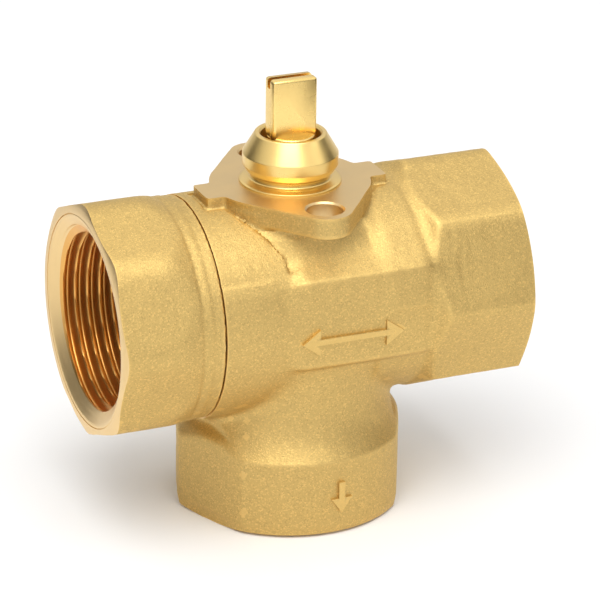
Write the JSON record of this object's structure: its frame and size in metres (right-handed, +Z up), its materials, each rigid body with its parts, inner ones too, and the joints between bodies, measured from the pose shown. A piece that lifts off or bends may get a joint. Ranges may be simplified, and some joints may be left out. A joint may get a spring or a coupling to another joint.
{
  "type": "zone valve",
  "caption": "Three-way change-over ball valve with threaded octagonal ends, a flanged stem neck and a flat drive tang that turns a chromed ball a quarter turn.",
  "frame": {"origin": "centre of port AB's end face, on the surface the valve stands on", "axes": "+X from port A to port B along the run, +Y to the back, +Z up along the stem"},
  "size_m": [0.0606, 0.034, 0.0617],
  "materials": {
    "forged_brass": "blasted forging, satin",
    "turned_brass": "turned and polished",
    "chromed_brass": "polished chrome plate",
    "white_ptfe": "matte",
    "black_rubber": "matte"
  },
  "bodies": {
    "housing": {"valve_body": "forged_brass", "end_connector": "forged_brass", "connector_o_ring": "black_rubber", "seat_ring_a": "white_ptfe", "seat_ring_b": "white_ptfe", "seat_o_ring_a": "black_rubber", "seat_o_ring_b": "black_rubber", "thrust_washer": "white_ptfe"},
    "stem": {"stem": "turned_brass", "stem_o_ring_lower": "black_rubber", "stem_o_ring_upper": "black_rubber"},
    "ball": {"ball": "chromed_brass"}
  },
  "joints": [
    {"name": "stem_turn", "type": "hinge", "parent": "housing", "child": "stem", "pos_m": [0, 0, 0.0303], "axis": [0, 0, 1], "range_deg": [0, 90]},
    {"name": "ball_turn", "type": "hinge", "parent": "housing", "child": "ball", "pos_m": [0, 0, 0.0303], "axis": [0, 0, 1], "range_deg": [0, 90]}
  ],
  "couplings": [
    {"joint": "ball_turn", "follows": "stem_turn", "ratio": 1}
  ]
}
